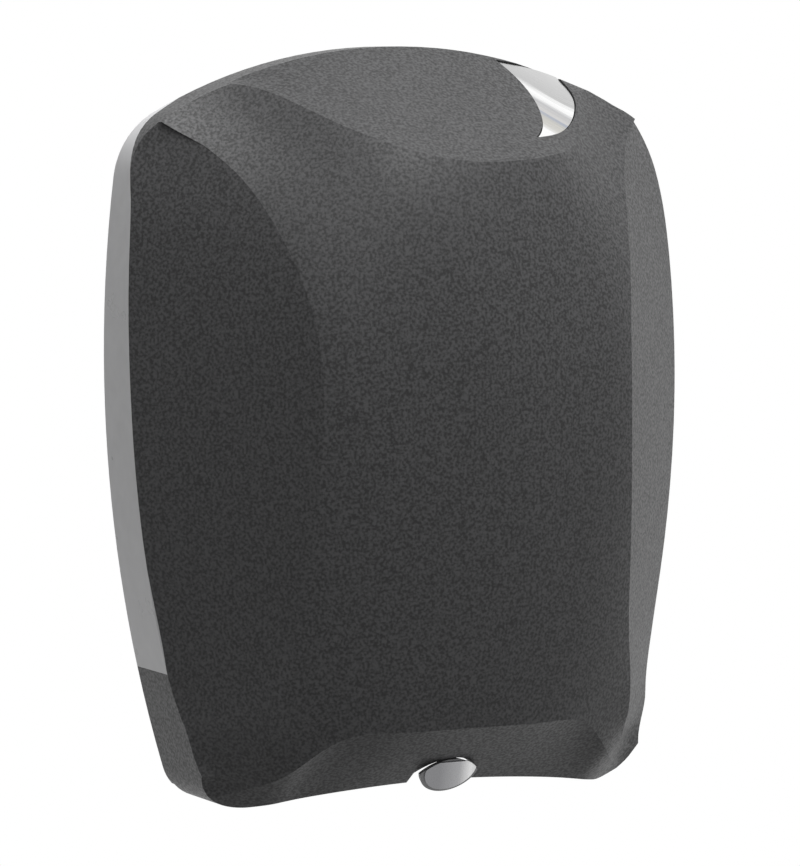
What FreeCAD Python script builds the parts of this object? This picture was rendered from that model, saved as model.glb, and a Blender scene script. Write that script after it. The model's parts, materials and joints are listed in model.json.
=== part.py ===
import FreeCAD, Part
import math
import os

os.makedirs("parts", exist_ok=True)

# A wall-mounted jumbo toilet roll dispenser, in millimetres.
# X runs to the right, Y into the wall and Z up. The wall is the plane Y = 0.
# The origin is the centre of the four wall-screw holes, on the wall.
# A depth is a distance out from the wall, towards the viewer, so it is -Y.

# Outline of the case, seen from the front
top_z = 200.0
bottom_z = -190.0
half_width = 164.0
widest_z = 37.5
arch_radius = 280.0
upper_side_radius = 740.0
lower_side_radius = 754.0
bottom_radius = 570.0
top_corner_radius = 45.0
bottom_corner_radius = 24.0

# Depths and walls of the case
case_depth = 132.0
shell_wall = 3.0
wall_gap = 0.6
fit_gap = 0.3
seam_gap = 0.25
pane_gap = 0.1
rest_gap = 0.05
overrun = 60.0

# Hinge at the lower edge of the cover
hinge_depth = 14.0
hinge_rise = 4.3
hinge_across_share = 0.52
ear_width = 6.0
ear_radius = 6.0
lug_width = 6.0
pin_radius = 2.45
running_gap = 0.05

# Back plate
plate_thickness = 3.0
plate_clearance = 1.4
plate_side_foot_z = -165.0
plate_side_foot_x = 100.0
rim_height = 12.0
rim_wall = 2.0
rib_height = 6.0
rib_wall = 2.0
rib_across_share = 0.27
rib_height_share = 0.37
screw_pitch_x = 180.0
screw_pitch_z = 220.0
wall_hole_radius = 2.75
wall_pad_radius = 11.0
wall_pad_height = 2.0

# Spindle and hub that carry the roll
roll_centre_z = 18.0
spindle_radius = 6.0
spindle_length = 90.0
spindle_flange_radius = 22.0
spindle_flange_thickness = 4.0
spindle_screw_ring = 16.0
spindle_screw_turns = (90.0, 210.0, 330.0)
full_turn = 360.0
groove_depth = 1.0
clip_radius = 10.0
clip_thickness = 1.5
hub_radius = 15.0
hub_fin_radius = 21.5
hub_fin_wall = 2.4
hub_fins = 6
hub_disc_radius = 34.0
hub_disc_thickness = 2.5
hub_cap_radius = 14.0
hub_cap_thickness = 2.5
hub_shoulder = 5.0

# Small screws inside
screw_radius = 1.5
screw_head_radius = 3.0
screw_head_height = 2.0
screw_length = 4.8
screw_slot_half = 0.5

# Paper outlet
outlet_half_width = 75.0
outlet_front_depth = 50.0
guide_half_width = 66.0
guide_wall = 3.0
guide_height = 26.0
guide_front_depth = 71.0
guide_bar_thickness = 3.0
guide_bar_height = 12.0
guide_web_rise = 12.0
blade_thickness = 0.8
blade_height = 13.0
blade_overhang = 3.0
tooth_pitch = 4.0
tooth_height = 2.6
blade_screw_shares = (0.33, 0.67)

# Side windows
window_foot_z = -128.0
window_head_z = 178.0
window_head_shares = ((0.82, 0.12), (0.88, 0.075), (0.94, 0.035), (1.0, -0.05))

# Press plate and its housing, at the upper right
press_sheet = 1.8
plate_sink = 0.8
press_gap = 0.5
tray_wall = 1.8
tray_floor_depth = 10.5
pusher_thickness = 3.0
pusher_inset = 3.0
stem_radius = 4.0
stem_length = 29.0
boss_radius = 3.6
boss_shares = ((0.277, 0.4545), (0.256, 0.242))
tongue_width = 20.0
tongue_thickness = 1.6
tongue_base_height = 22.0
barb_height = 3.0
barb_length = 4.0
catch_rib_wall = 2.4

# Clamp lever in the lower edge
lever_rise = 19.0
lever_setback = 13.7
lever_lean = 38.0
lever_half_width = 16.0
lever_length = 24.0
lever_forward = 6.6
lever_back_thickness = 2.4
lever_face_thickness = 1.0
lever_rim = 2.2
lever_barrel_radius = 4.0
lever_pin_radius = 1.5
lever_ear_wall = 3.0
lever_arm_height = 14.0
lever_arm_thickness = 3.0
lever_arm_half_width = 9.0
brake_pad_thickness = 2.7
brake_pad_height = 9.0
notch_half_width = 18.5
notch_top_z = -175.5
notch_shoulder_z = -184.0
notch_clearance = 0.8
spring_strip = 0.5
spring_half_width = 4.0
spring_reach = 8.0

# Front panel: depths on a grid, as shares of the case depth.
# Columns run from the middle to past the side, rows from foot to head.
panel_column_shares = (0.0, 0.305, 0.58, 0.79, 1.0, 1.16)
panel_row_shares = (-1.025, -0.75, -0.40, 0.0, 0.35, 0.625, 0.80, 1.025)
panel_depth_shares = (
    (0.76, 0.86, 0.95, 1.00, 0.98, 0.89, 0.78, 0.57),
    (0.73, 0.82, 0.91, 0.96, 0.93, 0.82, 0.68, 0.39),
    (0.50, 0.69, 0.79, 0.85, 0.80, 0.62, 0.41, 0.13),
    (0.38, 0.56, 0.62, 0.67, 0.60, 0.45, 0.25, 0.06),
    (0.24, 0.35, 0.42, 0.46, 0.40, 0.27, 0.135, 0.01),
    (0.08, 0.14, 0.20, 0.25, 0.20, 0.12, 0.04, -0.03),
)
panel_wall_share = 1.25

# Flanks: at each level, the depth of the rim on the side wall and the turn
# where the flank meets the front panel.
flank_level_shares = (-1.05, -0.80, -0.625, -0.37, 0.0, 0.285, 0.46, 0.615, 0.7325, 0.785, 0.84)
rim_depth_shares = (0.16, 0.375, 0.30, 0.284, 0.269, 0.246, 0.226, 0.19, 0.13, 0.10, 0.07)
turn_reach_shares = (0.73, 0.66, 0.617, 0.585, 0.555, 0.566, 0.605, 0.665, 0.77, 0.85, 0.91)
flank_slope_shares = (2.6, 1.11, 1.213, 1.123, 1.094, 1.09, 1.057, 0.981, 0.965, 1.0, 1.05)
turn_back_shares = (0.03, 0.03, 0.03, 0.03, 0.03, 0.03, 0.025, 0.02, 0.015, 0.01, 0.0)
flank_lean = 41.0
flank_outreach = 40.0

# Top facet: where it meets the front panel, across the width
brow_across_shares = (-0.58, -0.476, -0.372, -0.247, 0.0, 0.159, 0.293, 0.42, 0.58, 0.76)
brow_height_shares = (0.895, 0.847, 0.788, 0.74, 0.7025, 0.7035, 0.715, 0.731, 0.835, 0.852)
brow_depth_shares = (0.273, 0.455, 0.636, 0.769, 0.845, 0.826, 0.761, 0.652, 0.364, 0.30)
brow_rear_depth = 22.0
brow_end_across_share = 0.95
brow_end_rise = 38.0

# Bottom facet: where it meets the front panel, and its lower edge
chin_across_shares = (0.0, 0.27, 0.415, 0.55, 0.70)
chin_height_shares = (-0.782, -0.785, -0.8025, -0.9225, -0.9475)
chin_depth_shares = (0.845, 0.814, 0.742, 0.553, 0.535)
chin_foot_depth_shares = (0.50, 0.49, 0.465, 0.44, 0.42)
chin_end_across_share = 0.84

# Press plate outline on the top facet, as (across, depth) in shares of the
# half width and of the case depth, in order round the leaf
leaf_shares = (
    ((0.352, 0.172), (0.402, 0.320), (0.300, 0.630)),
    ((0.300, 0.630), (0.455, 0.532), (0.570, 0.375)),
    ((0.570, 0.375), (0.597, 0.280), (0.590, 0.180)),
    ((0.590, 0.180), (0.475, 0.171), (0.352, 0.172)),
)
leaf_slope_share = 0.70
link_share = 0.62
leaf_centre_shares = (0.43, 0.40)


def point(x, depth, z):
    return FreeCAD.Vector(x, -depth, z)


def box(x0, x1, d0, d1, z0, z1):
    corner = point(min(x0, x1), max(d0, d1), min(z0, z1))
    return Part.makeBox(abs(x1 - x0), abs(d1 - d0), abs(z1 - z0), corner)


def rod_x(x0, x1, depth, z, radius):
    return Part.makeCylinder(radius, x1 - x0, point(x0, depth, z), FreeCAD.Vector(1, 0, 0))


def rod_out(d0, d1, x, z, radius):
    return Part.makeCylinder(radius, d1 - d0, point(x, d0, z), FreeCAD.Vector(0, -1, 0))


def polygon(points):
    return Part.makePolygon(list(points) + [points[0]])


def strip_x(x0, x1, section):
    """A solid with a section of (depth, z) points, run along X."""
    wire = polygon([point(x0, depth, z) for depth, z in section])
    return Part.Face(wire).extrude(FreeCAD.Vector(x1 - x0, 0, 0))


def mirrored(shape):
    return shape.mirror(FreeCAD.Vector(0, 0, 0), FreeCAD.Vector(1, 0, 0))


def joined(first, others):
    return first.fuse(others).removeSplitter()


def save(shape, name):
    solids = shape.Solids
    good = all(solid.isValid() for solid in solids)
    kept = solids[0] if len(solids) == 1 else Part.makeCompound(solids)
    kept.exportStep("parts/" + name + ".step")
    state = "valid" if good else "NOT VALID"
    print(name, len(solids), "solid(s)", round(shape.Volume), "mm3", state)


# The outline

def meeting(centre_a, reach_a, centre_b, reach_b, side):
    """Where two circles cross; side picks the upper (1) or lower (-1) crossing."""
    gap_x = centre_b[0] - centre_a[0]
    gap_z = centre_b[1] - centre_a[1]
    gap = math.hypot(gap_x, gap_z)
    along = (reach_a ** 2 - reach_b ** 2 + gap ** 2) / (2 * gap)
    off = math.sqrt(reach_a ** 2 - along ** 2)
    base_x = centre_a[0] + along * gap_x / gap
    base_z = centre_a[1] + along * gap_z / gap
    found = []
    for sign in (1, -1):
        found.append((base_x - sign * off * gap_z / gap, base_z + sign * off * gap_x / gap))
    return max(found, key=lambda spot: spot[0] + side * spot[1])


def bearing(start, end):
    return math.atan2(end[1] - start[1], end[0] - start[0])


def arc_about(centre, radius, start, end):
    angles = (start, (start + end) / 2, end)
    spots = []
    for angle in angles:
        x = centre[0] + radius * math.cos(angle)
        z = centre[1] + radius * math.sin(angle)
        spots.append(point(x, 0, z))
    return Part.Arc(*spots).toShape()


arch_centre = (0.0, top_z - arch_radius)
upper_centre = (half_width - upper_side_radius, widest_z)
lower_centre = (half_width - lower_side_radius, widest_z)
bottom_centre = (0.0, bottom_z - bottom_radius)
top_corner = meeting(arch_centre, arch_radius - top_corner_radius,
                     upper_centre, upper_side_radius - top_corner_radius, 1)
bottom_corner = meeting(bottom_centre, bottom_radius + bottom_corner_radius,
                        lower_centre, lower_side_radius - bottom_corner_radius, 0)


def outline(inset):
    """The case outline in the wall plane, moved in by the inset."""
    up = math.pi / 2
    arch_end = bearing(arch_centre, top_corner)
    side_start = bearing(upper_centre, top_corner)
    side_end = bearing(lower_centre, bottom_corner)
    foot_start = bearing(bottom_centre, bottom_corner)
    corner_end = bearing(bottom_corner, bottom_centre)
    half = [
        arc_about(arch_centre, arch_radius - inset, up, arch_end),
        arc_about(top_corner, top_corner_radius - inset, arch_end, side_start),
        arc_about(upper_centre, upper_side_radius - inset, side_start, 0),
        arc_about(lower_centre, lower_side_radius - inset, 0, side_end),
        arc_about(bottom_corner, bottom_corner_radius - inset, side_end, corner_end),
        arc_about(bottom_centre, bottom_radius + inset, foot_start, up),
    ]
    return Part.Wire(Part.__sortEdges__(half + [mirrored(edge) for edge in half]))


def outline_block(inset, near, far):
    """The outline as a block between two depths."""
    block = Part.Face(outline(inset)).extrude(FreeCAD.Vector(0, near - far, 0))
    block.translate(FreeCAD.Vector(0, -near, 0))
    return block


def half_width_at(z):
    radius = upper_side_radius if z >= widest_z else lower_side_radius
    return half_width - radius + math.sqrt(radius ** 2 - (z - widest_z) ** 2)


def arch_at(x):
    return top_z - arch_radius + math.sqrt(arch_radius ** 2 - x ** 2)


def foot_at(x):
    return bottom_z - bottom_radius + math.sqrt(bottom_radius ** 2 - x ** 2)


# The form of the case

def panel_block(inset):
    """Everything behind the domed front panel."""
    columns = [-share for share in reversed(panel_column_shares[1:])] + list(panel_column_shares)
    depths = list(reversed(panel_depth_shares[1:])) + list(panel_depth_shares)
    grid = []
    for column, row_depths in zip(columns, depths):
        line = []
        for level, share in zip(panel_row_shares, row_depths):
            depth = share * case_depth - inset * panel_wall_share
            line.append(point(column * half_width, depth, level * top_z))
        grid.append(line)
    surface = Part.BSplineSurface()
    surface.interpolate(grid)
    return surface.toShape().extrude(FreeCAD.Vector(0, case_depth + overrun, 0))


def flank_cutter(inset):
    """What the right flank takes off: a slanted face, bounded inwards by the turn."""
    shift_x = inset * math.cos(math.radians(flank_lean))
    shift_depth = inset * math.sin(math.radians(flank_lean))
    slant = []
    bound = []
    rows = zip(flank_level_shares, rim_depth_shares, turn_reach_shares,
               flank_slope_shares, turn_back_shares)
    for level, rim_share, reach_share, rise, back_share in rows:
        z = level * top_z
        rim_x = half_width_at(z)
        rim_depth = rim_share * case_depth
        turn_x = reach_share * half_width
        line = []
        for reach in (-flank_outreach, 0, flank_outreach, flank_outreach + overrun):
            line.append(point(rim_x - reach - shift_x, rim_depth + reach * rise - shift_depth, z))
        slant.append(line)
        bound.append(point(turn_x - back_share * half_width - shift_x, 0, z))
    surface = Part.BSplineSurface()
    surface.interpolate(slant)
    ahead = surface.toShape().extrude(FreeCAD.Vector(0, -case_depth - overrun, 0))
    curve = Part.BSplineCurve()
    curve.interpolate(bound)
    far_x = half_width + overrun
    corners = (point(far_x, 0, bound[-1].z), point(far_x, 0, bound[0].z))
    rest = Part.makePolygon([bound[-1], corners[0], corners[1], bound[0]])
    side = Part.Face(Part.Wire([curve.toShape()] + rest.Edges))
    side = side.extrude(FreeCAD.Vector(0, -case_depth - overrun, 0))
    return ahead.common(side)


def facet_section(x, rear, turn, far_z):
    """A section at x of what lies beyond the line from rear to turn, as (depth, z)."""
    slope = (turn[1] - rear[1]) / (turn[0] - rear[0])
    back = rear[0] - overrun
    front = turn[0] + overrun
    corners = [
        (back, rear[1] + (back - rear[0]) * slope),
        (front, rear[1] + (front - rear[0]) * slope),
        (front, far_z),
        (back, far_z),
    ]
    return polygon([point(x, depth, z) for depth, z in corners])


def brow_cutter(inset):
    """What the top facet takes off."""
    far_z = top_z + overrun + overrun
    reach = brow_end_across_share * half_width
    end_rear = (brow_rear_depth, arch_at(reach) + brow_end_rise)
    end_turn = (brow_rear_depth + overrun, arch_at(reach) + brow_end_rise)
    sections = [facet_section(-reach, end_rear, end_turn, far_z)]
    rows = zip(brow_across_shares, brow_height_shares, brow_depth_shares)
    for across, height, depth in rows:
        x = across * half_width
        rear = (brow_rear_depth, arch_at(x))
        turn = (depth * case_depth, height * top_z)
        sections.append(facet_section(x, rear, turn, far_z))
    sections.append(facet_section(reach, end_rear, end_turn, far_z))
    cutter = Part.makeLoft(sections, True, False)
    cutter.translate(leaf_normal * -inset)
    return cutter


def chin_cutter(inset):
    """What the bottom facet takes off."""
    far_z = bottom_z - overrun - overrun
    half = []
    rows = zip(chin_across_shares, chin_height_shares, chin_depth_shares, chin_foot_depth_shares)
    for across, height, depth, foot_depth in rows:
        x = across * half_width
        rear = (foot_depth * case_depth, foot_at(x))
        turn = (depth * case_depth, height * top_z)
        half.append((x, rear, turn))
    # the end section has the last one's slope
    reach = chin_end_across_share * half_width
    end_z = foot_at(reach)
    half.append((reach, (rear[0], end_z), (turn[0], end_z + turn[1] - rear[1])))
    whole = [(-x, rear, turn) for x, rear, turn in reversed(half[1:])] + half
    sections = [facet_section(x, rear, turn, far_z) for x, rear, turn in whole]
    cutter = Part.makeLoft(sections, True, False)
    cutter.translate(chin_normal * -inset)
    return cutter


leaf_tilt = math.atan(leaf_slope_share)
leaf_normal = point(0, math.sin(leaf_tilt), math.cos(leaf_tilt))
chin_rise = (chin_height_shares[0] * top_z - bottom_z)
chin_run = (chin_depth_shares[0] - chin_foot_depth_shares[0]) * case_depth
chin_tilt = math.atan(chin_rise / chin_run)
chin_normal = point(0, math.sin(chin_tilt), -math.cos(chin_tilt))


def case_form(inset, near):
    """The whole closed form of the case, from a depth near the wall outwards."""
    form = outline_block(inset, near, case_depth + overrun).common(panel_block(inset))
    flank = flank_cutter(inset)
    for cutter in (flank, mirrored(flank), brow_cutter(inset), chin_cutter(inset)):
        form = form.cut(cutter)
    return form


# The press plate's own plane, tangent to the top facet

def leaf_spot(across_share, depth_share):
    depth = depth_share * case_depth
    z = arch_at(leaf_centre_shares[0] * half_width) - leaf_slope_share * (depth - brow_rear_depth)
    return point(across_share * half_width, depth, z)


def leaf_wire():
    edges = [Part.Arc(*[leaf_spot(*spot) for spot in trio]).toShape() for trio in leaf_shares]
    return Part.Wire(edges)


def leaf_block(grow, low, high):
    """The leaf outline grown by a margin, as a block along the facet's normal."""
    wire = leaf_wire()
    if grow:
        wire = wire.makeOffset2D(grow)
    block = Part.Face(wire).extrude(leaf_normal * (high - low))
    block.translate(leaf_normal * low)
    return block


leaf_centre = leaf_spot(*leaf_centre_shares)


def facet_layer(block, low, high):
    """The part of a block between two distances under the top facet."""
    layer = brow_cutter(high).common(block)
    layer = layer.cut(brow_cutter(low))
    return max(layer.Solids, key=lambda solid: solid.Volume)


def chin_depth_at(z):
    turn_depth = chin_depth_shares[0] * case_depth
    turn_z = chin_height_shares[0] * top_z
    return turn_depth - (turn_z - z) * chin_run / chin_rise


# Positions that several pieces share
hinge_x = hinge_across_share * half_width
hinge_z = foot_at(hinge_x) + hinge_rise
lever_pivot_z = bottom_z + lever_rise
lever_pivot_depth = chin_depth_at(lever_pivot_z) - lever_setback
plate_inset = shell_wall + plate_clearance
plate_foot_z = hinge_z + ear_radius + hinge_rise
stem_tip = leaf_centre - leaf_normal * stem_length
tongue_x = leaf_centre.x
tongue_top_z = stem_tip.z - stem_radius * math.sin(leaf_tilt) - fit_gap
rib_depth = -stem_tip.y + stem_radius + barb_length
tray_bottom = tray_floor_depth + tray_wall
guide_foot_z = bottom_z + tooth_height
guide_top_z = guide_foot_z + guide_height
boss_spots = [(across * half_width, depth * case_depth) for across, depth in boss_shares]


def lever_turned(shape):
    """Leans a shape that was drawn upright at the lever's pivot."""
    pivot = point(0, lever_pivot_depth, lever_pivot_z)
    return shape.rotate(pivot, FreeCAD.Vector(1, 0, 0), lever_lean)


# Screws

def screw_out(x, depth, z):
    """A screw driven towards the wall, its head standing out at the depth."""
    head = rod_out(depth, depth + screw_head_height, x, z, screw_head_radius)
    shank = rod_out(depth - screw_length, depth, x, z, screw_radius)
    slot = box(x - screw_head_radius, x + screw_head_radius,
               depth + screw_head_height / 2, depth + screw_head_height,
               z - screw_slot_half, z + screw_slot_half)
    return head.fuse(shank).cut(slot)


# The wall side

def back_plate():
    plate = outline_block(plate_inset, 0, plate_thickness)
    rim = outline_block(plate_inset, 0, rim_height)
    rim = rim.cut(outline_block(plate_inset + rim_wall, 0, rim_height + overrun))
    reach = half_width + overrun
    below = [box(-reach, reach, -overrun, overrun, bottom_z - overrun, plate_foot_z)]
    for side in (-1, 1):
        edge = side * plate_side_foot_x
        below.append(box(edge, side * reach, -overrun, overrun, bottom_z - overrun, plate_side_foot_z))
    ribs = []
    for side in (-1, 1):
        x = side * rib_across_share * half_width
        foot = guide_top_z + guide_web_rise + guide_wall
        ribs.append(box(x - rib_wall / 2, x + rib_wall / 2, 0, rib_height,
                        foot, arch_at(x) - plate_inset - rim_wall / 2))
    for z in (rib_height_share * top_z, -rib_height_share * top_z):
        x = half_width_at(z) - plate_inset - rim_wall / 2
        ribs.append(box(-x, x, 0, rib_height, z - rib_wall / 2, z + rib_wall / 2))
    hub_clear = rod_out(0, overrun, 0, roll_centre_z, hub_disc_radius + plate_clearance)
    flank = flank_cutter(plate_inset)
    body = joined(plate, [rim] + ribs).cut(below + [flank, mirrored(flank)])
    body = body.cut(hub_clear.cut(rod_out(0, plate_thickness, 0, roll_centre_z, overrun + overrun)))
    for x in (-screw_pitch_x / 2, screw_pitch_x / 2):
        for z in (-screw_pitch_z / 2, screw_pitch_z / 2):
            pad = rod_out(0, plate_thickness + wall_pad_height, x, z, wall_pad_radius)
            body = body.fuse(pad)
            body = body.cut(rod_out(-overrun, overrun, x, z, wall_hole_radius))
    for side in (-1, 1):
        inner = side * hinge_x - ear_width / 2
        arm = box(inner, inner + ear_width, 0, hinge_depth, hinge_z - ear_radius, hinge_z + ear_radius)
        web = box(inner, inner + ear_width, 0, plate_thickness,
                  hinge_z - ear_radius, plate_foot_z + rim_height)
        eye = rod_x(inner, inner + ear_width, hinge_depth, hinge_z, ear_radius)
        body = body.fuse([arm, web, eye])
        body = body.cut(rod_x(inner - overrun / 4, inner + ear_width + overrun / 4,
                              hinge_depth, hinge_z, pin_radius))
    for x, z in spindle_screw_spots():
        body = body.cut(rod_out(0, overrun, x, z, screw_radius))
    for x, z in guide_screw_spots() + tongue_screw_spots():
        body = body.cut(rod_out(0, overrun, x, z, screw_radius))
    return body.removeSplitter()


def spindle_screw_spots():
    spots = []
    for turn in spindle_screw_turns:
        angle = math.radians(turn)
        spots.append((spindle_screw_ring * math.cos(angle),
                      roll_centre_z + spindle_screw_ring * math.sin(angle)))
    return spots


def guide_screw_spots():
    z = guide_top_z + guide_web_rise / 2
    return [(-guide_half_width / 2, z), (guide_half_width / 2, z)]


def tongue_screw_spots():
    offset = (tongue_width + screw_head_radius * 2) / 2 + screw_radius
    z = tongue_top_z - tongue_base_height / 4
    return [(tongue_x - offset, z), (tongue_x + offset, z)]


plate_face = plate_thickness
flange_face = plate_face + spindle_flange_thickness
hub_rear = flange_face + fit_gap
hub_front = plate_face + spindle_length - clip_thickness - fit_gap
clip_depth = hub_front + fit_gap


def spindle():
    flange = rod_out(plate_face, flange_face, 0, roll_centre_z, spindle_flange_radius)
    tip = plate_face + spindle_length + clip_thickness
    shaft = rod_out(plate_face, tip, 0, roll_centre_z, spindle_radius)
    groove = rod_out(clip_depth, clip_depth + clip_thickness, 0, roll_centre_z, spindle_radius)
    groove = groove.cut(rod_out(0, overrun * 2, 0, roll_centre_z, spindle_radius - groove_depth))
    body = flange.fuse(shaft).cut(groove)
    for x, z in spindle_screw_spots():
        body = body.cut(rod_out(0, overrun, x, z, screw_radius))
        seat = rod_out(flange_face - screw_head_height, overrun, x, z, screw_head_radius + fit_gap)
        body = body.cut(seat)
    return body


def spindle_clip():
    ring = rod_out(clip_depth, clip_depth + clip_thickness, 0, roll_centre_z, clip_radius)
    ring = ring.cut(rod_out(0, overrun * 2, 0, roll_centre_z, spindle_radius - groove_depth))
    mouth = box(-groove_depth * 2, groove_depth * 2, 0, overrun * 2,
                roll_centre_z, roll_centre_z + clip_radius)
    return ring.cut(mouth)


def spindle_screws():
    depth = flange_face - screw_head_height
    return [screw_out(x, depth, z) for x, z in spindle_screw_spots()]


def roll_hub():
    tip = hub_front + hub_shoulder + hub_cap_thickness
    sleeve = rod_out(hub_rear, tip, 0, roll_centre_z, hub_radius)
    disc = rod_out(hub_rear, hub_rear + hub_disc_thickness, 0, roll_centre_z, hub_disc_radius)
    fin_rear = hub_rear + hub_disc_thickness / 2
    fins = []
    for number in range(hub_fins):
        fin = box(-hub_fin_wall / 2, hub_fin_wall / 2, fin_rear, hub_front,
                  roll_centre_z, roll_centre_z + hub_fin_radius)
        axis = FreeCAD.Vector(0, 1, 0)
        fins.append(fin.rotate(point(0, 0, roll_centre_z), axis, full_turn * number / hub_fins))
    bore = rod_out(0, overrun * 2, 0, roll_centre_z, spindle_radius + running_gap)
    cup = rod_out(hub_front, overrun * 2, 0, roll_centre_z, clip_radius + plate_clearance)
    seat = rod_out(hub_front + hub_shoulder, overrun * 2, 0, roll_centre_z, hub_cap_radius)
    return joined(sleeve, [disc] + fins).cut(bore).cut(cup).cut(seat)


def hub_cap():
    rear = hub_front + hub_shoulder
    return rod_out(rear, rear + hub_cap_thickness, 0, roll_centre_z, hub_cap_radius)


def outlet_guide():
    """The frame round the paper's way out: a web on the plate, two cheeks and a front bar."""
    cheeks = []
    for side in (-1, 1):
        x = side * guide_half_width
        outer = side * (guide_half_width + guide_wall)
        cheeks.append(box(x, outer, plate_face, guide_front_depth,
                          guide_foot_z + blade_overhang, guide_top_z))
    web = box(-guide_half_width - guide_wall, guide_half_width + guide_wall, plate_face,
              plate_face + guide_wall, guide_top_z - guide_wall, guide_top_z + guide_web_rise)
    bar = box(-guide_half_width - guide_wall, guide_half_width + guide_wall,
              guide_front_depth - guide_bar_thickness, guide_front_depth,
              guide_top_z - guide_bar_height, guide_top_z)
    body = joined(web, cheeks + [bar]).cut(chin_cutter(shell_wall + plate_clearance))
    for x, z in guide_screw_spots():
        body = body.cut(rod_out(0, overrun, x, z, screw_radius))
    for x0, x1, depth, z in blade_screw_places():
        body = body.cut(rod_x(x0, x1, depth, z, screw_radius))
    return body


def outlet_guide_screws():
    return [screw_out(x, plate_face + guide_wall, z) for x, z in guide_screw_spots()]


blade_top_z = guide_foot_z + blade_height


def blade_screw_places():
    places = []
    for side in (-1, 1):
        near = side * (guide_half_width - blade_thickness)
        far = side * (guide_half_width + guide_wall + screw_head_height)
        for share in blade_screw_shares:
            depth = share * outlet_front_depth
            places.append((min(near, far), max(near, far), depth, blade_top_z - blade_overhang))
    return places


def tear_blade(side):
    """A serrated strip on the inner face of one cheek."""
    rear = plate_face + guide_wall
    teeth = int((outlet_front_depth - plate_clearance - rear) / tooth_pitch)
    outline_points = [(rear, blade_top_z), (rear, guide_foot_z)]
    for number in range(teeth):
        start = rear + number * tooth_pitch
        outline_points.append((start + tooth_pitch / 2, guide_foot_z - tooth_height))
        outline_points.append((start + tooth_pitch, guide_foot_z))
    outline_points.append((rear + teeth * tooth_pitch, blade_top_z))
    x = side * guide_half_width
    inner = x - side * blade_thickness
    blade = strip_x(min(x, inner), max(x, inner), outline_points)
    for x0, x1, depth, z in blade_screw_places():
        blade = blade.cut(rod_x(x0, x1, depth, z, screw_radius))
    return blade


def tear_blade_screws():
    screws = []
    for x0, x1, depth, z in blade_screw_places():
        shank = rod_x(x0, x1, depth, z, screw_radius)
        inner = x0 if x0 > 0 else x1
        outward = -1 if x0 > 0 else 1
        edge = inner + outward * blade_thickness
        head = rod_x(min(inner, edge), max(inner, edge), depth, z, screw_head_radius)
        screws.append(shank.fuse(head))
    return screws


def hinge_pin(side):
    inner = hinge_x - ear_width / 2
    length = ear_width + seam_gap + lug_width
    start = min(side * inner, side * (inner + length))
    return rod_x(start, start + length, hinge_depth, hinge_z, pin_radius)


def catch_tongue():
    """A springy strip on the plate with a barb that holds the cover shut."""
    tip = rib_depth + catch_rib_wall + fit_gap + barb_length
    left = tongue_x - tongue_width / 2
    right = tongue_x + tongue_width / 2
    low = tongue_top_z - tongue_thickness
    strip = box(left, right, plate_face, tip, low, tongue_top_z)
    hook = tip - barb_length
    barb = strip_x(left, right, ((hook, low), (hook, tongue_top_z + barb_height),
                                 (tip, tongue_top_z), (tip, low)))
    offset = screw_head_radius * 2 + screw_radius
    base = box(left - offset, right + offset, plate_face, plate_face + guide_wall,
               tongue_top_z - tongue_base_height / 2, tongue_top_z)
    body = joined(strip, [barb, base])
    for x, z in tongue_screw_spots():
        body = body.cut(rod_out(0, overrun, x, z, screw_radius))
    return body


def catch_screws():
    return [screw_out(x, plate_face + guide_wall, z) for x, z in tongue_screw_spots()]


# The cover

def window_zone(grow):
    """The part of the side walls that the windows take, as seen from the side."""
    levels = [level * top_z for level in flank_level_shares[2:-3]]
    depths = [share * case_depth for share in rim_depth_shares[2:-3]]
    spots = [(window_foot_z - grow, depths[0] + grow)]
    spots += [(z, depth + grow) for z, depth in zip(levels, depths)]
    spots += [(share * window_head_z, depth * case_depth + grow) for share, depth in window_head_shares]
    curve = Part.BSplineCurve()
    curve.interpolate([point(0, depth, z) for z, depth in spots])
    first = point(0, spots[0][1], spots[0][0])
    last = point(0, spots[-1][1], spots[-1][0])
    heel = point(0, -overrun, window_foot_z - grow)
    head = point(0, -overrun, last.z)
    face = Part.Face(Part.Wire([curve.toShape()] + Part.makePolygon([last, head, heel, first]).Edges))
    zone = face.extrude(FreeCAD.Vector(2 * half_width + overrun, 0, 0))
    zone.translate(FreeCAD.Vector(-half_width - overrun / 2, 0, 0))
    return zone


def case_shell():
    return case_form(0, wall_gap).cut(case_form(shell_wall, -overrun / 4))


def side_windows(shell):
    band = shell.common(window_zone(-pane_gap / 2))
    right = [solid for solid in band.Solids if solid.CenterOfMass.x > half_width / 2]
    left = [solid for solid in band.Solids if solid.CenterOfMass.x < -half_width / 2]
    right = max(right, key=lambda solid: solid.Volume)
    left = max(left, key=lambda solid: solid.Volume)
    return left, right


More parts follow.
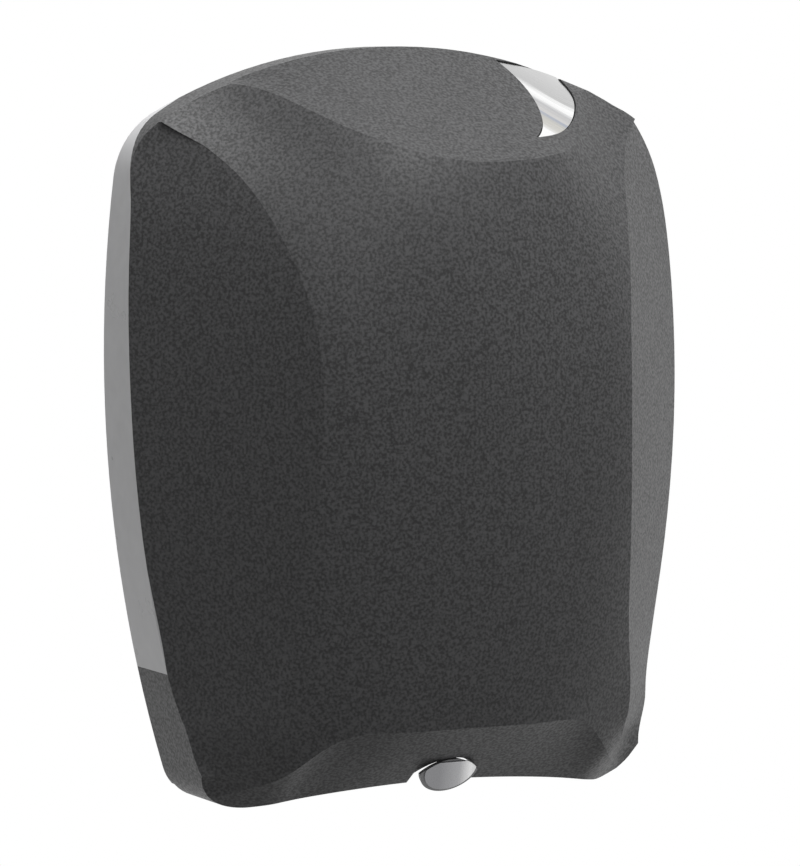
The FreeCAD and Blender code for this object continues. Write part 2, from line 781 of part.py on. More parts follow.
def cover_shell(shell):
    reach = half_width + overrun
    added = [tray_boss(x, depth) for x, depth in boss_spots]
    added += [lever_ear(side) for side in (-1, 1)]
    # the lower rear edge stands off the wall, so that it clears the wall as it swings
    lowest = hinge_z - foot_at(bottom_corner[0])
    swing_gap = hinge_depth - math.sqrt((hinge_depth - fit_gap) ** 2 - lowest ** 2) + fit_gap
    taken = [window_zone(pane_gap / 2)]
    taken.append(box(-reach, reach, -overrun, swing_gap, bottom_z - overrun, hinge_z))
    # the paper's way out
    taken.append(box(-outlet_half_width, outlet_half_width, -overrun, outlet_front_depth,
                     bottom_z - overrun, guide_foot_z + guide_height / 2))
    for side in (-1, 1):
        # a slot for the hinge ear
        near = side * hinge_x - ear_width / 2 - plate_clearance
        taken.append(box(near, near + ear_width + 2 * plate_clearance, -overrun,
                         hinge_depth + ear_radius + plate_clearance, bottom_z - overrun, hinge_z))
        # a hinge lug beside it
        inner = side * (hinge_x + ear_width / 2 + seam_gap)
        outer = inner + side * lug_width
        near, far = min(inner, outer), max(inner, outer)
        added.append(rod_x(near, far, hinge_depth, hinge_z, ear_radius))
        added.append(box(near, far, hinge_depth - ear_radius / 2, hinge_depth + ear_radius * 2,
                         foot_at(outer) + shell_wall / 3, hinge_z))
        taken.append(rod_x(near - rest_gap, far + rest_gap, hinge_depth, hinge_z,
                           pin_radius + running_gap))
    taken.append(leaf_block(press_gap, -tray_bottom, overrun / 2))
    taken.append(notch_block(0))
    pin_reach = notch_half_width + fit_gap + lever_ear_wall + rest_gap
    taken.append(rod_x(-pin_reach, pin_reach, lever_pivot_depth, lever_pivot_z, lever_pin_radius))
    body = shell.cut(taken[:3]).fuse(added).cut(taken[3:])
    return max(body.Solids, key=lambda solid: solid.Volume)


def notch_block(grow):
    reach = notch_half_width + grow
    left = point(-reach, 0, notch_shoulder_z + grow)
    right = point(reach, 0, notch_shoulder_z + grow)
    top = Part.Arc(left, point(0, 0, notch_top_z + grow), right).toShape()
    low_right = point(reach, 0, bottom_z - overrun)
    low_left = point(-reach, 0, bottom_z - overrun)
    rest = Part.makePolygon([right, low_right, low_left, left])
    face = Part.Face(Part.Wire([top] + rest.Edges))
    block = face.extrude(FreeCAD.Vector(0, -case_depth, 0))
    block.translate(FreeCAD.Vector(0, -outlet_front_depth + guide_wall, 0))
    return block


def lever_ear(side):
    """An ear on the cover for the lever's pin, run into the slanted wall in front of it."""
    inner = side * (notch_half_width + fit_gap)
    outer = inner + side * lever_ear_wall
    near, far = min(inner, outer), max(inner, outer)
    eye = rod_x(near, far, lever_pivot_depth, lever_pivot_z, lever_barrel_radius + fit_gap)
    block = box(near, far, lever_pivot_depth, case_depth, lever_pivot_z - lever_barrel_radius,
                lever_pivot_z + lever_barrel_radius)
    return eye.fuse(block).cut(chin_cutter(shell_wall / 2))


def tray_boss(x, depth):
    foot = boss_foot(x, depth)
    boss = Part.makeCylinder(boss_radius, overrun / 2, foot, leaf_normal)
    hole = Part.makeCylinder(screw_radius, screw_length, foot, leaf_normal)
    return boss.cut(brow_cutter(shell_wall / 2)).cut(hole)


def press_tray():
    """The housing under the press plate, with the ribs that the tongue's barb holds."""
    outer = facet_layer(leaf_block(press_gap + tray_wall, -overrun / 2, overrun / 2),
                        shell_wall + rest_gap, tray_bottom)
    outer = outer.common(case_form(shell_wall + rest_gap, rim_height + fit_gap))
    inner = facet_layer(leaf_block(press_gap, -overrun / 2, overrun / 2),
                        shell_wall / 2, tray_floor_depth)
    added = []
    for side in (-1, 1):
        near = tongue_x + side * (stem_radius + tray_wall / 2)
        rib = box(near, tongue_x + side * tongue_width / 2, rib_depth, rib_depth + catch_rib_wall,
                  tongue_top_z + fit_gap, top_z)
        added.append(rib.cut(brow_cutter(tray_floor_depth + tray_wall / 2)))
    deep = leaf_centre - leaf_normal * overrun
    taken = [Part.makeCylinder(stem_radius + running_gap, overrun, deep, leaf_normal)]
    for x, depth in boss_spots:
        foot = boss_foot(x, depth) - leaf_normal * (tray_wall + rest_gap)
        added.append(Part.makeCylinder(boss_radius + tray_wall, tray_wall, foot, leaf_normal))
        added.append(ear_link(foot))
        deep = foot - leaf_normal * overrun / 2
        taken.append(Part.makeCylinder(screw_radius, overrun, deep, leaf_normal))
    body = outer.cut(inner).fuse(added).cut(taken)
    return max(body.Solids, key=lambda solid: solid.Volume)


def boss_foot(x, depth):
    """The lower end of a screw boss, on a line square to the top facet."""
    spot = FreeCAD.Vector(x, -depth, leaf_spot(0, depth / case_depth).z)
    return spot - leaf_normal * (tray_bottom - tray_wall)


def ear_link(foot):
    """A flat bar from one screw ear to the tray's wall."""
    near = leaf_centre - leaf_normal * (leaf_centre - foot).dot(leaf_normal)
    across = (near - foot).cross(leaf_normal)
    across.normalize()
    half = across * boss_radius
    stop = foot + (near - foot) * link_share
    wire = polygon([stop - half, foot - half, foot + half, stop + half])
    return Part.Face(wire).extrude(leaf_normal * (tray_wall - 2 * fit_gap))


def press_tray_screws():
    screws = []
    for x, depth in boss_spots:
        foot = boss_foot(x, depth) - leaf_normal * (tray_wall + rest_gap)
        crown = foot - leaf_normal * screw_head_height
        head = Part.makeCylinder(screw_head_radius, screw_head_height, crown, leaf_normal)
        shank = Part.makeCylinder(screw_radius, screw_length, foot, leaf_normal)
        screws.append(head.fuse(shank))
    return screws


def press_plate():
    return facet_layer(leaf_block(0, -overrun / 2, overrun / 2), plate_sink, plate_sink + press_sheet)


def press_pusher():
    """The moulded carrier under the press plate, with the stem that frees the catch."""
    top = plate_sink + press_sheet
    pad = facet_layer(leaf_block(-pusher_inset, -overrun / 2, overrun / 2),
                      top, top + pusher_thickness)
    stem = Part.makeCylinder(stem_radius, stem_length, stem_tip, leaf_normal)
    stem = stem.cut(brow_cutter(top + pusher_thickness / 2))
    return pad.fuse(stem)


def press_spring():
    """Two folded strips between the tray's floor and the pusher, behind and in front of the stem."""
    roof = plate_sink + press_sheet + pusher_thickness + rest_gap
    floor = tray_floor_depth - rest_gap
    middle = leaf_centre - leaf_normal * (roof + floor) / 2
    start = middle.x - spring_half_width / 2
    end = middle.x + spring_half_width / 2
    low = middle.z - overrun
    high = middle.z + overrun
    offset = stem_radius + tray_wall
    strips = []
    for rear in (-middle.y - offset - spring_reach, -middle.y + offset):
        column = box(start, end, rear, rear + spring_reach, low, high)
        gap = box(start, end, rear + spring_strip, rear + overrun, low, high)
        outer = facet_layer(column, roof, floor)
        strips.append(outer.cut(facet_layer(gap, roof + spring_strip, floor - spring_strip)))
    return strips


# The lever

def shield(half, reach, top, back, front):
    """A plate with a straight top and a round foot, hung at the lever's pivot."""
    z = lever_pivot_z - top
    foot = lever_pivot_z - reach
    left = point(-half, 0, z)
    right = point(half, 0, z)
    arc = Part.Arc(right, point(0, 0, foot), left).toShape()
    face = Part.Face(Part.Wire([Part.makeLine(left, right), arc]))
    plate = face.extrude(FreeCAD.Vector(0, back - front, 0))
    plate.translate(FreeCAD.Vector(0, -lever_pivot_depth - back, 0))
    return lever_turned(plate)


def notch_edge():
    """The slanted wall round the notch, with room for the lever to move."""
    return chin_cutter(shell_wall + fit_gap).cut(notch_block(-notch_clearance))


def lever_body():
    barrel = rod_x(-notch_half_width, notch_half_width, lever_pivot_depth, lever_pivot_z,
                   lever_barrel_radius)
    back = shield(lever_half_width, lever_length, 0,
                  lever_forward, lever_forward + lever_back_thickness)
    link = lever_turned(box(-lever_half_width / 2, lever_half_width / 2, lever_pivot_depth,
                            lever_pivot_depth + lever_forward + lever_back_thickness / 2,
                            lever_pivot_z - lever_barrel_radius, lever_pivot_z))
    arm = box(-lever_arm_half_width, lever_arm_half_width, lever_pivot_depth - lever_arm_thickness,
              lever_pivot_depth, lever_pivot_z, lever_pivot_z + lever_arm_height)
    bore = rod_x(-half_width, half_width, lever_pivot_depth, lever_pivot_z,
                 lever_pin_radius + running_gap)
    return joined(barrel, [back, link, arm]).cut(bore).cut(notch_edge())


def lever_face():
    front = lever_forward + lever_back_thickness
    return shield(lever_half_width - lever_rim, lever_length - lever_rim, lever_rim / 2,
                  front, front + lever_face_thickness).cut(notch_edge())


def brake_pad():
    front = lever_pivot_depth - lever_arm_thickness
    top = lever_pivot_z + lever_arm_height
    return box(-lever_arm_half_width, lever_arm_half_width, front - brake_pad_thickness, front,
               top - brake_pad_height, top)


def lever_pin():
    reach = notch_half_width + fit_gap + lever_ear_wall
    return rod_x(-reach, reach, lever_pivot_depth, lever_pivot_z, lever_pin_radius)


def lever_spring():
    """A folded strip between the lever's arm and the slanted wall in front of it."""
    top = lever_pivot_z + lever_arm_height - blade_thickness
    low = lever_pivot_z + lever_barrel_radius - blade_thickness
    rear = lever_pivot_depth + rest_gap
    wall = shell_wall / math.sin(chin_tilt)
    high = (top + low) / 2
    front = chin_depth_at(high) - wall - rest_gap
    fold = chin_depth_at(low) - wall - shell_wall
    section = ((rear, top), (fold, low), (front, high), (front - spring_strip, high + spring_strip),
               (fold, low + spring_strip), (rear + spring_strip, top))
    return strip_x(-spring_half_width, spring_half_width, section)


shell = case_shell()
window_left, window_right = side_windows(shell)
pieces = {
    "back_plate": back_plate(),
    "spindle": spindle(),
    "spindle_clip": spindle_clip(),
    "spindle_screws": Part.makeCompound(spindle_screws()),
    "roll_hub": roll_hub(),
    "hub_cap": hub_cap(),
    "outlet_guide": outlet_guide(),
    "outlet_guide_screws": Part.makeCompound(outlet_guide_screws()),
    "tear_blade_left": tear_blade(-1),
    "tear_blade_right": tear_blade(1),
    "tear_blade_screws": Part.makeCompound(tear_blade_screws()),
    "hinge_pin_left": hinge_pin(-1),
    "hinge_pin_right": hinge_pin(1),
    "catch_tongue": catch_tongue(),
    "catch_screws": Part.makeCompound(catch_screws()),
    "cover_shell": cover_shell(shell),
    "window_left": window_left,
    "window_right": window_right,
    "press_tray": press_tray(),
    "press_tray_screws": Part.makeCompound(press_tray_screws()),
    "press_plate": press_plate(),
    "press_pusher": press_pusher(),
    "press_spring": Part.makeCompound(press_spring()),
    "lever_body": lever_body(),
    "lever_face": lever_face(),
    "brake_pad": brake_pad(),
    "lever_pin": lever_pin(),
    "lever_spring": lever_spring(),
}
for name, shape in pieces.items():
    save(shape, name)
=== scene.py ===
# %% [markdown]
# A wall-mounted dispenser for large toilet rolls, dressed for a studio picture.
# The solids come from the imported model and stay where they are. This script gives
# them their finishes, rounds the edges of the pieces that show most, and sets up
# the lights and the camera. Lengths are in metres, +Z is up, the wall is the plane
# Y = 0 and the front looks towards -Y.

import json
import math

import bmesh
import bpy
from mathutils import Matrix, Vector

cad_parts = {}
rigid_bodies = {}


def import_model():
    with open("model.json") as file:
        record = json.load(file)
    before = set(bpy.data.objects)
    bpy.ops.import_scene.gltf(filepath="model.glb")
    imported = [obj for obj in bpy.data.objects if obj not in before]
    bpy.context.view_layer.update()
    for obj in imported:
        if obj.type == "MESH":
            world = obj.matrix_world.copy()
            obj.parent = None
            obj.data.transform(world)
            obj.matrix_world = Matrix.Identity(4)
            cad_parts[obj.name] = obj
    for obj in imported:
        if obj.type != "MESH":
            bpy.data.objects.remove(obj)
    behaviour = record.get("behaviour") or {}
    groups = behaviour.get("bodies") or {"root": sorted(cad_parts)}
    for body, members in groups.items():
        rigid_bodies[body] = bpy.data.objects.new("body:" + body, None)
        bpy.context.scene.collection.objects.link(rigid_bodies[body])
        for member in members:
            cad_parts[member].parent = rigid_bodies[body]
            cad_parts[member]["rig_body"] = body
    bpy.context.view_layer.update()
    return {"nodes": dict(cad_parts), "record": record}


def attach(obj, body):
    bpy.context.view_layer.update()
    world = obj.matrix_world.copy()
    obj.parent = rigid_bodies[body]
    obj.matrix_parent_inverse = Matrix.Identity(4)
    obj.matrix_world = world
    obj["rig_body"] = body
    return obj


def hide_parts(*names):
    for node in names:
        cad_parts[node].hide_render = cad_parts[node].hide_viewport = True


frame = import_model()
nodes = frame["nodes"]
MM = 0.001

# %% [markdown]
# Every finish here is made of shader nodes that read Object coordinates, so that
# a grain keeps its size in millimetres on each piece. A few small helpers make and
# wire up the nodes, which keeps the recipes below short.

# %% Helpers for materials
def new_material(name):
    material = bpy.data.materials.new(name)
    material.use_nodes = True
    tree = material.node_tree
    shader = tree.nodes["Principled BSDF"]
    place = tree.nodes.new("ShaderNodeTexCoord")
    return material, tree, shader, place.outputs["Object"]


def noise(tree, coordinates, size, detail, stretch=(1, 1, 1)):
    """A noise whose blotches are about as large as the size, in metres."""
    mapping = tree.nodes.new("ShaderNodeMapping")
    mapping.inputs["Scale"].default_value = stretch
    tree.links.new(coordinates, mapping.inputs["Vector"])
    texture = tree.nodes.new("ShaderNodeTexNoise")
    texture.inputs["Scale"].default_value = 1 / size
    texture.inputs["Detail"].default_value = detail
    tree.links.new(mapping.outputs["Vector"], texture.inputs["Vector"])
    return texture.outputs["Fac"]


def remap(tree, value, low, high, start=0.3, end=0.7):
    """Spreads the middle of a noise over a chosen range."""
    node = tree.nodes.new("ShaderNodeMapRange")
    node.inputs["From Min"].default_value = start
    node.inputs["From Max"].default_value = end
    node.inputs["To Min"].default_value = low
    node.inputs["To Max"].default_value = high
    tree.links.new(value, node.inputs["Value"])
    return node.outputs["Result"]


def blend_colours(tree, factor, first, second):
    node = tree.nodes.new("ShaderNodeMix")
    node.data_type = "RGBA"
    node.inputs["A"].default_value = (*first, 1)
    node.inputs["B"].default_value = (*second, 1)
    tree.links.new(factor, node.inputs["Factor"])
    return node.outputs["Result"]


def bump(tree, shader, height, depth, strength):
    node = tree.nodes.new("ShaderNodeBump")
    node.inputs["Distance"].default_value = depth
    node.inputs["Strength"].default_value = strength
    tree.links.new(height, node.inputs["Height"])
    tree.links.new(node.outputs["Normal"], shader.inputs["Normal"])


def add_values(tree, first, second, share):
    """Adds a share of the second value to the first."""
    node = tree.nodes.new("ShaderNodeMath")
    node.operation = "MULTIPLY_ADD"
    node.inputs[1].default_value = share
    tree.links.new(second, node.inputs[0])
    tree.links.new(first, node.inputs[2])
    return node.outputs["Value"]


# %% [markdown]
# Moulded plastic is rarely one even colour. The case has a fine spark-eroded
# texture: a grain of about a millimetre that catches the light, with a finer one
# on top. A picture of such a surface would do too, but it would need to be laid
# round every corner. Two noises added together need no layout: they give the
# colour its mottling, and the same sum lifts the surface by a few hundredths of a
# millimetre.

# %% Plastics
fine_grain_ratio = 2.4
fine_grain_share = 0.6
grain_low = 0.58
grain_high = 1.02
plastic_gloss_swing = 0.06
plastic_specular = 0.28
plastic_bump_strength = 0.8


def moulded_plastic(name, colour, mottle, grain, roughness, relief):
    """A textured plastic: mottle is the share by which its colour varies."""
    material, tree, shader, place = new_material(name)
    coarse = noise(tree, place, grain, 0)
    fine = noise(tree, place, grain / fine_grain_ratio, 1)
    both = add_values(tree, coarse, fine, fine_grain_share)
    dark = [channel * (1 - mottle) for channel in colour]
    light = [channel * (1 + mottle) for channel in colour]
    mix = remap(tree, both, 0, 1, grain_low, grain_high)
    tint = blend_colours(tree, mix, dark, light)
    tree.links.new(tint, shader.inputs["Base Color"])
    gloss = remap(tree, both, roughness + plastic_gloss_swing,
                  roughness - plastic_gloss_swing, grain_low, grain_high)
    tree.links.new(gloss, shader.inputs["Roughness"])
    shader.inputs["Specular IOR Level"].default_value = plastic_specular
    bump(tree, shader, both, relief, plastic_bump_strength)
    return material


charcoal = moulded_plastic("charcoal_case", colour=(0.037, 0.037, 0.038), mottle=0.60,
                           grain=1.5 * MM, roughness=0.46, relief=0.06 * MM)
dark_grey = moulded_plastic("dark_grey_inside", colour=(0.070, 0.071, 0.073), mottle=0.08,
                            grain=1.6 * MM, roughness=0.50, relief=0.03 * MM)
mid_grey = moulded_plastic("mid_grey_plastic", colour=(0.30, 0.30, 0.305), mottle=0.05,
                           grain=1.2 * MM, roughness=0.42, relief=0.02 * MM)
print("plastics:", charcoal.name, dark_grey.name, mid_grey.name)

# %% [markdown]
# The side windows are smoky plastic that is only slightly clear. A little
# transmission with some roughness lets light through without showing the roll
# behind sharply, and a slow cloud keeps the wide strips from looking flat.

# %% Window plastic
window_cloud = 14 * MM
window_tint_swing = 0.06
window_gloss_swing = 0.03
window_ior = 1.49
window_grain = 1.1 * MM
window_grain_depth = 0.01 * MM
window_bump_strength = 0.3


def smoky_plastic(name, colour, clearness, roughness):
    material, tree, shader, place = new_material(name)
    cloud = noise(tree, place, window_cloud, 2)
    dark = [channel * (1 - window_tint_swing) for channel in colour]
    light = [channel * (1 + window_tint_swing) for channel in colour]
    tint = blend_colours(tree, remap(tree, cloud, 0, 1), dark, light)
    tree.links.new(tint, shader.inputs["Base Color"])
    gloss = remap(tree, cloud, roughness - window_gloss_swing, roughness + window_gloss_swing)
    tree.links.new(gloss, shader.inputs["Roughness"])
    shader.inputs["Transmission Weight"].default_value = clearness
    shader.inputs["IOR"].default_value = window_ior
    grain = noise(tree, place, window_grain, 2)
    bump(tree, shader, grain, window_grain_depth, window_bump_strength)
    return material


smoky = smoky_plastic("smoky_window", colour=(0.60, 0.60, 0.61), clearness=0.10, roughness=0.30)
print("window plastic:", smoky.name)

# %% [markdown]
# Springs, pins, blades and screws are small, so they need little: bright metal whose
# fine noise varies the roughness and lifts the surface a few microns, with faint
# clouds in the colour. On the steel the noise is stretched fivefold along the
# height, and on the zinc of the screws it is even in all directions.

# %% Metals
metal_line = 0.5 * MM
metal_cloud = 9 * MM
metal_cloud_depth = 0.07
metal_cloud_share = 0.3
metal_tint_low = 0.4
metal_tint_high = 0.9
metal_gloss_below = 0.06
metal_gloss_above = 0.08
metal_bump_strength = 0.5


def brushed_metal(name, colour, roughness, stretch, relief):
    material, tree, shader, place = new_material(name)
    lines = noise(tree, place, metal_line, 3, stretch)
    cloud = noise(tree, place, metal_cloud, 2)
    dark = [channel * (1 - metal_cloud_depth) for channel in colour]
    both = add_values(tree, lines, cloud, metal_cloud_share)
    mix = remap(tree, both, 0, 1, metal_tint_low, metal_tint_high)
    tree.links.new(blend_colours(tree, mix, dark, colour), shader.inputs["Base Color"])
    gloss = remap(tree, lines, roughness - metal_gloss_below, roughness + metal_gloss_above)
    tree.links.new(gloss, shader.inputs["Roughness"])
    shader.inputs["Metallic"].default_value = 1.0
    bump(tree, shader, lines, relief, metal_bump_strength)
    return material


bright_steel = brushed_metal("bright_steel", colour=(0.66, 0.66, 0.67), roughness=0.24,
                             stretch=(1, 1, 0.2), relief=0.003 * MM)
zinc = brushed_metal("zinc_screw", colour=(0.60, 0.60, 0.60), roughness=0.32,
                     stretch=(1, 1, 1), relief=0.006 * MM)
print("metals:", bright_steel.name, zinc.name)

# %% [markdown]
# The silver plates are brushed and polished metal. Slanted bands of white, grey and
# bluish grey are painted reflections in their colour. A lamp placed with care could throw
# such bands, but they would change with every view. So a Mapping node turns the
# pattern and scales it until one line across the plate runs from 0 to 1. A colour
# ramp sets the painted reflection tones along that line, and a stretched noise frays
# the bands into brushed strokes.

# %% Satin metal with painted reflection bands
# The strokes are sized as shares of the line that the bands lie on.
stroke_size = 0.012
stroke_stretch = (1, 0.03, 0.03)
stroke_shift = 0.02
stroke_gloss_low = 0.16
stroke_gloss_high = 0.30
stroke_depth = 0.004 * MM
stroke_bump_strength = 0.5


def metal_with_painted_reflection_bands(name, turn, low, high, tones):
    """Brushed metal with painted reflections: its tone changes along a turned line, between two
    places on it.
    """
    material, tree, shader, place = new_material(name)
    span = high - low
    mapping = tree.nodes.new("ShaderNodeMapping")
    mapping.inputs["Location"].default_value = (-low / span, 0, 0)
    mapping.inputs["Rotation"].default_value = (0, 0, turn)
    mapping.inputs["Scale"].default_value = (1 / span, 1 / span, 1 / span)
    tree.links.new(place, mapping.inputs["Vector"])
    axes = tree.nodes.new("ShaderNodeSeparateXYZ")
    tree.links.new(mapping.outputs["Vector"], axes.inputs["Vector"])
    strokes = noise(tree, mapping.outputs["Vector"], stroke_size, 3, stroke_stretch)
    frayed = add_values(tree, axes.outputs["X"], remap(tree, strokes, -1, 1), stroke_shift)
    # The ramp paints reflections: bands of light and dark tone along the turned line.
    ramp = tree.nodes.new("ShaderNodeValToRGB")
    tree.links.new(frayed, ramp.inputs["Fac"])
    stops = ramp.color_ramp.elements
    for stop, (position, colour) in zip(stops, (tones[0], tones[-1])):
        stop.position = position
        stop.color = (*colour, 1)
    for position, colour in tones[1:-1]:
        stops.new(position).color = (*colour, 1)
    tree.links.new(ramp.outputs["Color"], shader.inputs["Base Color"])
    gloss = remap(tree, strokes, stroke_gloss_low, stroke_gloss_high)
    tree.links.new(gloss, shader.inputs["Roughness"])
    shader.inputs["Metallic"].default_value = 1.0
    bump(tree, shader, strokes, stroke_depth, stroke_bump_strength)
    return material


# Painted reflections on the plate: bands of white, grey and bluish grey.
plate_painted_reflection_tones = (
    (0.00, (0.62, 0.62, 0.62)),
    (0.30, (0.52, 0.52, 0.52)),
    (0.37, (0.96, 0.96, 0.96)),
    (0.43, (0.90, 0.90, 0.90)),
    (0.48, (0.50, 0.50, 0.51)),
    (0.58, (0.62, 0.61, 0.60)),
    (0.61, (0.38, 0.41, 0.48)),
    (0.66, (0.55, 0.54, 0.50)),
    (0.76, (0.60, 0.59, 0.56)),
    (0.84, (0.95, 0.95, 0.95)),
)
# Painted reflections on the shield's face.
shield_painted_reflection_tones = (
    (0.05, (0.30, 0.30, 0.31)),
    (0.40, (0.46, 0.46, 0.47)),
    (0.60, (0.92, 0.92, 0.92)),
    (0.72, (0.70, 0.70, 0.70)),
    (0.95, (0.33, 0.33, 0.34)),
)
# Both metals carry painted reflection bands in their colour.
plate_satin_and_reflections = metal_with_painted_reflection_bands("plate_satin_painted_reflections", turn=math.radians(116.6), low=-22 * MM, high=52 * MM,
                     tones=plate_painted_reflection_tones)
shield_satin_and_reflections = metal_with_painted_reflection_bands("shield_satin_painted_reflections", turn=math.radians(20), low=20 * MM, high=52 * MM,
                            tones=shield_painted_reflection_tones)
print("tones on the plate:", len(plate_painted_reflection_tones), "on the shield:", len(shield_painted_reflection_tones))

# %% [markdown]
# The small pad that presses on the paper is black rubber. The plastic's recipe
# makes it too, with a higher roughness and a finer grain.

# %% Rubber
rubber = moulded_plastic("black_rubber", colour=(0.020, 0.020, 0.020), mottle=0.25,
                         grain=0.9 * MM, roughness=0.78, relief=0.04 * MM)
print("rubber:", rubber.name)

# %% [markdown]
# Each solid gets its finish by the slot that the record gives it, so none is left
# bare. Only the shield's face differs from its slot: its painted reflection bands lie
# another way than the plate's. The rounded copies made below take over their solid's finish.

# %% Finishes for the solids
finish_of_slot = {
    "case_plastic": charcoal,
    "inner_plastic": dark_grey,
    "light_plastic": mid_grey,
    "window_plastic": smoky,
    # The plate's finish carries painted reflection bands.
    "satin_metal": plate_satin_and_reflections,
    "spring_steel": bright_steel,
    "screw_steel": zinc,
    "pad_rubber": rubber,
}
slot_of_node = {part["node"]: part["material_slot"] for part in frame["record"]["subparts"]}


def dress(piece, material):
    piece.data.materials.clear()
    piece.data.materials.append(material)


for name, node in nodes.items():
    dress(node, finish_of_slot[slot_of_node[name]])
# The shield's face gets its own painted reflection bands.
dress(nodes["lever_face"], shield_satin_and_reflections)
print("finished solids:", len(nodes))

# %% [markdown]
# A moulded case has no knife edges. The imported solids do, so the pieces that show
# most are copied, their loose triangles merged, flat areas joined up again, and
# a narrow bevel rolled along every edge that is sharper than a chosen angle. The
# copy then stands for the solid, which stays hidden in its place. Rounding the
# solid itself would also work, but small fillets fail easily on a domed shell.

# %% Soften the edges of the cover
merge_distance = 0.002 * MM
sliver_size = 0.01 * MM
flat_angle = math.radians(0.2)
edge_segments = 2


def softened(name, edge_width, edge_angle, crease_angle):
    """A copy of a solid with rounded edges, which stands for it on the same body."""
    node = nodes[name]
    mesh = node.data.copy()
    shape = bmesh.new()
    shape.from_mesh(mesh)
    bmesh.ops.remove_doubles(shape, verts=shape.verts, dist=merge_distance)
    bmesh.ops.dissolve_degenerate(shape, edges=shape.edges, dist=sliver_size)
    for face in shape.faces:
        face.smooth = True
    bmesh.ops.dissolve_limit(shape, angle_limit=flat_angle, verts=shape.verts,
                             edges=shape.edges)
    creases = 0
    for edge in shape.edges:
        edge.smooth = edge.calc_face_angle(math.pi) < crease_angle
        creases += not edge.smooth
    shape.to_mesh(mesh)
    shape.free()
    piece = bpy.data.objects.new(name + "_soft", mesh)
    bpy.context.scene.collection.objects.link(piece)
    dress(piece, node.data.materials[0])
    bevel = piece.modifiers.new("edges", "BEVEL")
    bevel.width = edge_width
    bevel.segments = edge_segments
    bevel.limit_method = "ANGLE"
    bevel.angle_limit = edge_angle
    bevel.use_clamp_overlap = True
    bevel.harden_normals = True
    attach(piece, node["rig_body"])
    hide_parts(name)
    print(name, "faces:", len(mesh.polygons), "crease edges:", creases)
    return piece


cover = softened("cover_shell", edge_width=0.7 * MM, edge_angle=math.radians(12),
                 crease_angle=math.radians(7))

# %% [markdown]
# The lower corners of the real cover are rounder than the solid's: their front
# edge runs back towards the wall before it meets the foot. The copy's points are
# pulled back by up to 20 mm there. The pull grows downwards, outwards and away
# from the wall, each time along a smooth ramp, so that the outer and the inner
# face of the shell move almost alike.

# %% Round the lower corners
def eased(value, start, end):
    """Runs smoothly from 0 to 1 between two limits."""
    share = min(max((value - start) / (end - start), 0), 1)
    return share * share * (3 - 2 * share)


corner_pull = 20 * MM
corner_down = (154 * MM, 188 * MM)
corner_out = (90 * MM, 126 * MM)
corner_away = (8 * MM, 50 * MM)
moved = 0
for vertex in cover.data.vertices:
    down = eased(-vertex.co.z, *corner_down)
    out = eased(abs(vertex.co.x), *corner_out)
    away = eased(-vertex.co.y, *corner_away)
    vertex.co.y += corner_pull * down * out * away
    moved += down * out * away > 0
print("points moved at the lower corners:", moved)

# %% [markdown]
# The windows, the silver plate and the shield with its body have clear outlines
# of their own, so only edges sharper than 30 degrees are rounded on them.

# %% Soften the smaller outer pieces
small_edge_angle = math.radians(30)
window_crease_angle = math.radians(20)
small_crease_angle = math.radians(25)
for name in ("window_left", "window_right"):
    softened(name, 0.8 * MM, small_edge_angle, window_crease_angle)
for name in ("press_plate", "lever_face"):
    softened(name, 0.5 * MM, small_edge_angle, small_crease_angle)
softened("lever_body", 0.4 * MM, small_edge_angle, small_crease_angle)

# %% [markdown]
# A white room with soft boxes suits a dark case. The world is white wherever the
# camera, a mirror or clear plastic looks at it, and an even, weaker light for all
# other rays. A white that also lit the object would bleach its colours.

# %% World
def white_for_viewers(tree, dim, bright, output):
    """Shows camera, mirror and clear rays the bright shader, and the rest the dim one."""
    path = tree.nodes.new("ShaderNodeLightPath")
    first = tree.nodes.new("ShaderNodeMath")
    first.operation = "MAXIMUM"
    tree.links.new(path.outputs["Is Camera Ray"], first.inputs[0])
    tree.links.new(path.outputs["Is Glossy Ray"], first.inputs[1])
    second = tree.nodes.new("ShaderNodeMath")
    second.operation = "MAXIMUM"
    tree.links.new(first.outputs[0], second.inputs[0])
    tree.links.new(path.outputs["Is Transmission Ray"], second.inputs[1])
    mix = tree.nodes.new("ShaderNodeMixShader")
    tree.links.new(second.outputs[0], mix.inputs["Fac"])
    tree.links.new(dim, mix.inputs[1])
    tree.links.new(bright, mix.inputs[2])
    tree.links.new(mix.outputs[0], output)


white = (1, 1, 1, 1)
room_light = 0.22
full_white = 1.0
world = bpy.data.worlds.new("studio")
bpy.context.scene.world = world
world.use_nodes = True
sky = world.node_tree
dim_sky = sky.nodes["Background"]
dim_sky.inputs["Color"].default_value = white
dim_sky.inputs["Strength"].default_value = room_light
white_sky = sky.nodes.new("ShaderNodeBackground")
white_sky.inputs["Color"].default_value = white
white_sky.inputs["Strength"].default_value = full_white
white_for_viewers(sky, dim_sky.outputs[0], white_sky.outputs[0],
                  sky.nodes["World Output"].inputs["Surface"])
print("room light:", room_light)

# %% [markdown]
# One large lamp hangs above and in front of the case. A second, weak one stands to
# the right, where the photograph's case is lightest.

# %% Lamps
def soft_box(name, place, target, size, power):
    lamp = bpy.data.lights.new(name, "AREA")
    lamp.shape = "SQUARE"
    lamp.size = size
    lamp.energy = power
    holder = bpy.data.objects.new(name, lamp)
    bpy.context.scene.collection.objects.link(holder)
    holder.location = place
    towards = Vector(target) - Vector(place)
    holder.rotation_euler = towards.to_track_quat("-Z", "Y").to_euler()
    print(name, "power:", power)
    return holder


middle = Vector((0, -0.06, 0))
soft_box("lamp_above", place=(0.25, -0.85, 2.1), target=middle, size=1.5, power=80)
soft_box("lamp_right", place=(1.9, -1.9, 0.5), target=middle, size=1.4, power=3)

# %% [markdown]
# The floor lies far below the case, which hangs on a wall, so only a steep view
# shows it. Its pale paint fades into white away from the middle, so that no
# horizon shows.

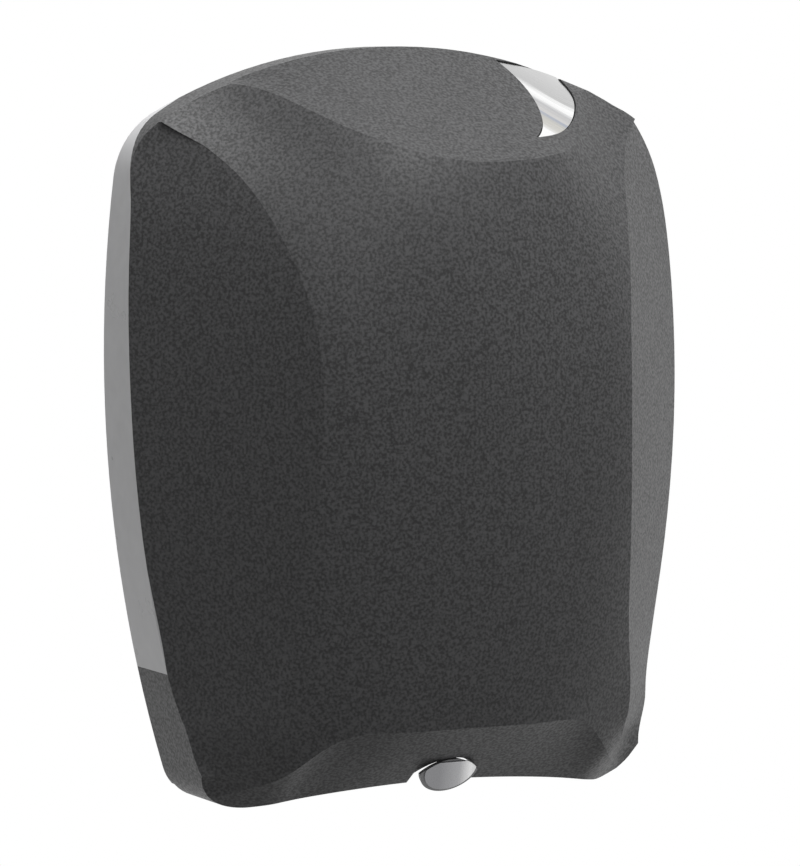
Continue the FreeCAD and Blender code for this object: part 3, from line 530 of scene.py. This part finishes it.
# %% Floor
floor_size = 3.2
floor_height = -1.5
floor_grey = 0.72
floor_roughness = 0.9
fade_start = 0.5
fade_end = 1.5
fade_least = 0.25
bpy.ops.mesh.primitive_plane_add(size=floor_size, location=(0, 0, floor_height))
floor = bpy.context.object
floor.name = "floor"
floor_finish = bpy.data.materials.new("pale_floor")
floor_finish.use_nodes = True
paint = floor_finish.node_tree
base = paint.nodes["Principled BSDF"]
base.inputs["Base Color"].default_value = (floor_grey, floor_grey, floor_grey, 1)
base.inputs["Roughness"].default_value = floor_roughness
glow = paint.nodes.new("ShaderNodeEmission")
glow.inputs["Strength"].default_value = full_white
spot = paint.nodes.new("ShaderNodeTexCoord")
reach = paint.nodes.new("ShaderNodeVectorMath")
reach.operation = "LENGTH"
paint.links.new(spot.outputs["Object"], reach.inputs[0])
fade = paint.nodes.new("ShaderNodeMixShader")
fade_share = remap(paint, reach.outputs["Value"], fade_least, 1, fade_start, fade_end)
paint.links.new(fade_share, fade.inputs["Fac"])
paint.links.new(base.outputs[0], fade.inputs[1])
paint.links.new(glow.outputs[0], fade.inputs[2])
white_for_viewers(paint, base.outputs[0], fade.outputs[0],
                  paint.nodes["Material Output"].inputs["Surface"])
dress(floor, floor_finish)
print("floor at:", floor_height)

# %% [markdown]
# The camera stands to the left of the case and a little above it, far enough
# away for the sides to stay nearly parallel.

# %% Camera
turn = math.radians(27)
dip = math.radians(4.641)
distance = 2.5
aim = Vector((11.19 * MM, 0, -9.64 * MM))
sensor_width = 36
focal_length = 190.93
farthest_seen = 50
forward = Vector((math.sin(turn) * math.cos(dip), math.cos(turn) * math.cos(dip),
                  -math.sin(dip)))
lens = bpy.data.cameras.new("camera")
lens.sensor_width = sensor_width
lens.lens = focal_length
camera = bpy.data.objects.new("camera", lens)
bpy.context.scene.collection.objects.link(camera)
camera.location = aim - forward * distance
camera.rotation_euler = forward.to_track_quat("-Z", "Y").to_euler()
lens.clip_end = farthest_seen
bpy.context.scene.camera = camera
bpy.context.scene.view_settings.view_transform = "Standard"
print("camera at:", tuple(round(value, 3) for value in camera.location))
